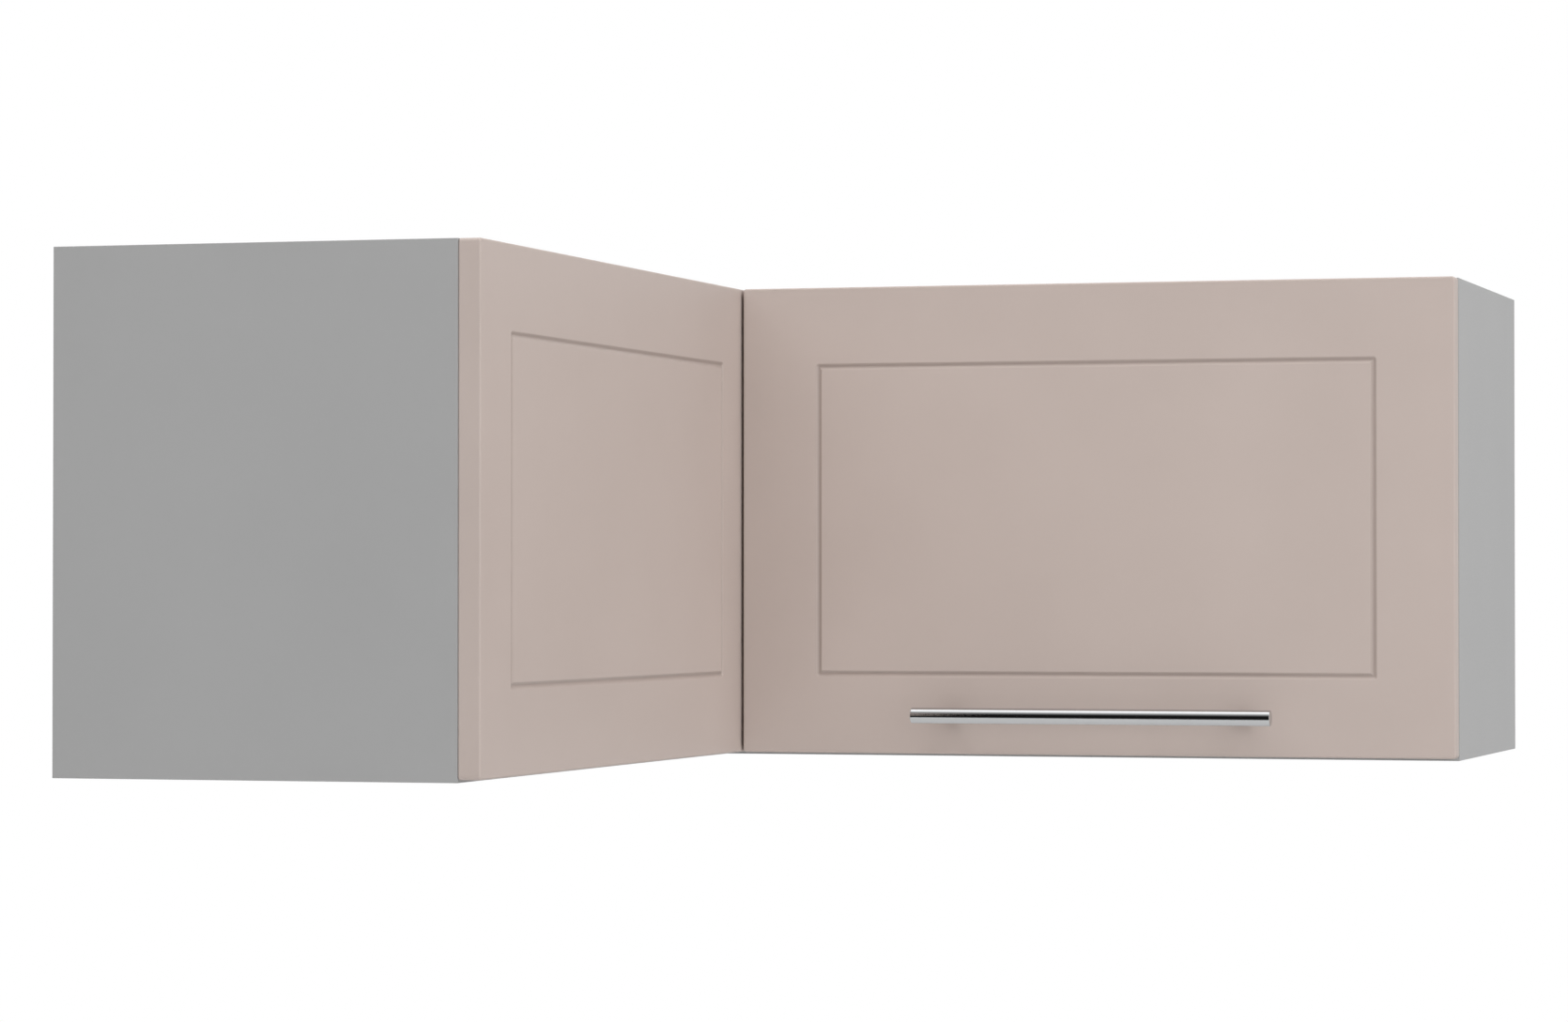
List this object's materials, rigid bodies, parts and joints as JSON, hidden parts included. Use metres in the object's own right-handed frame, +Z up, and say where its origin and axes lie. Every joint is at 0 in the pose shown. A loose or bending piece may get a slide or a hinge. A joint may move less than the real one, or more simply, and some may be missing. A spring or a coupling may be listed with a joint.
{
  "type": "corner wall cabinet",
  "caption": "L-shaped kitchen wall cabinet with a fixed front on the blind wing and a lift-up door with a bar handle, hinges, a lift stay and adjustable wall hangers.",
  "frame": {"origin": "middle of the bottom of the whole cabinet's bounding box, on the underside of the bottom board", "axes": "+Z up, +Y towards the rear wall (the side with the door's opening faces -Y), -X towards the left wall"},
  "size_m": [0.862, 0.89, 0.36],
  "materials": {
    "front_foil": "matt velvety foil wrapped round a pressed board, warm beige grey",
    "carcass_grey": "satin grey melamine-faced chipboard with edge band of the same grey",
    "back_hardboard": "thin hardboard, lacquered light grey",
    "handle_steel": "fine brushed steel with a bright sheen",
    "nickel_steel": "bright nickel-plated pressed steel",
    "zinc_steel": "zinc-plated steel",
    "fitting_plastic": "moulded light grey plastic",
    "cap_plastic": "moulded grey plastic",
    "dowel_wood": "bare beech",
    "bumper_rubber": "clear soft button"
  },
  "bodies": {
    "carcass": {"bottom_panel": "carcass_grey", "top_panel": "carcass_grey", "left_end_panel": "carcass_grey", "right_side_panel": "carcass_grey", "corner_strip_front": "carcass_grey", "corner_strip_side": "carcass_grey", "rear_corner_post": "carcass_grey", "rear_back_panel": "back_hardboard", "left_back_panel": "back_hardboard", "left_front_panel": "front_foil", "front_angles": "zinc_steel", "front_angle_screws": "zinc_steel", "front_post_screws": "zinc_steel", "cam_housings": "zinc_steel", "cam_bolts": "zinc_steel", "cam_caps": "cap_plastic", "wood_dowels": "dowel_wood", "euro_screws": "zinc_steel", "hanger_case_right": "fitting_plastic", "hanger_case_corner": "fitting_plastic", "hanger_case_left": "fitting_plastic", "hanger_screws": "zinc_steel", "hinge_arms": "nickel_steel", "hinge_plates": "nickel_steel", "hinge_plate_screws": "zinc_steel", "hinge_adjusters": "nickel_steel", "stay_housing": "fitting_plastic", "stay_housing_screws": "zinc_steel", "stay_main_pin": "nickel_steel"},
    "door": {"door_panel": "front_foil", "handle_bar": "handle_steel", "handle_posts": "handle_steel", "handle_screws": "zinc_steel", "door_bumpers": "bumper_rubber", "hinge_cups": "nickel_steel", "hinge_pins": "nickel_steel", "hinge_cup_screws": "zinc_steel", "stay_door_bracket": "nickel_steel", "stay_bracket_screws": "zinc_steel", "stay_bracket_pin": "nickel_steel"},
    "stay_lever": {"stay_lever": "nickel_steel", "stay_knee_pin": "nickel_steel"},
    "stay_arm": {"stay_arm": "nickel_steel"},
    "hanger_hook_right": {"hanger_hook_right": "zinc_steel"},
    "hanger_hook_corner": {"hanger_hook_corner": "zinc_steel"},
    "hanger_hook_left": {"hanger_hook_left": "zinc_steel"}
  },
  "joints": [
    {"name": "door_lift", "type": "hinge", "parent": "carcass", "child": "door", "pos_m": [0.155, 0.142, 0.3535], "axis": [-1, 0, 0], "range_deg": [0, 90]},
    {"name": "stay_lever_turn", "type": "hinge", "parent": "carcass", "child": "stay_lever", "pos_m": [0.399, 0.226, 0.3275], "axis": [-1, 0, 0], "range_deg": [0, 90]},
    {"name": "stay_arm_turn", "type": "hinge", "parent": "stay_lever", "child": "stay_arm", "pos_m": [0.396, 0.248, 0.2615], "axis": [-1, 0, 0], "range_deg": [-90, 0]},
    {"name": "hanger_right_height", "type": "slide", "parent": "carcass", "child": "hanger_hook_right", "axis": [0, 0, 1], "range_m": [-0.005, 0.005]},
    {"name": "hanger_corner_height", "type": "slide", "parent": "carcass", "child": "hanger_hook_corner", "axis": [0, 0, 1], "range_m": [-0.005, 0.005]},
    {"name": "hanger_left_height", "type": "slide", "parent": "carcass", "child": "hanger_hook_left", "axis": [0, 0, 1], "range_m": [-0.005, 0.005]}
  ],
  "couplings": [
    {"joint": "stay_lever_turn", "follows": "door_lift", "ratio": 1},
    {"joint": "stay_arm_turn", "follows": "door_lift", "ratio": -1}
  ]
}
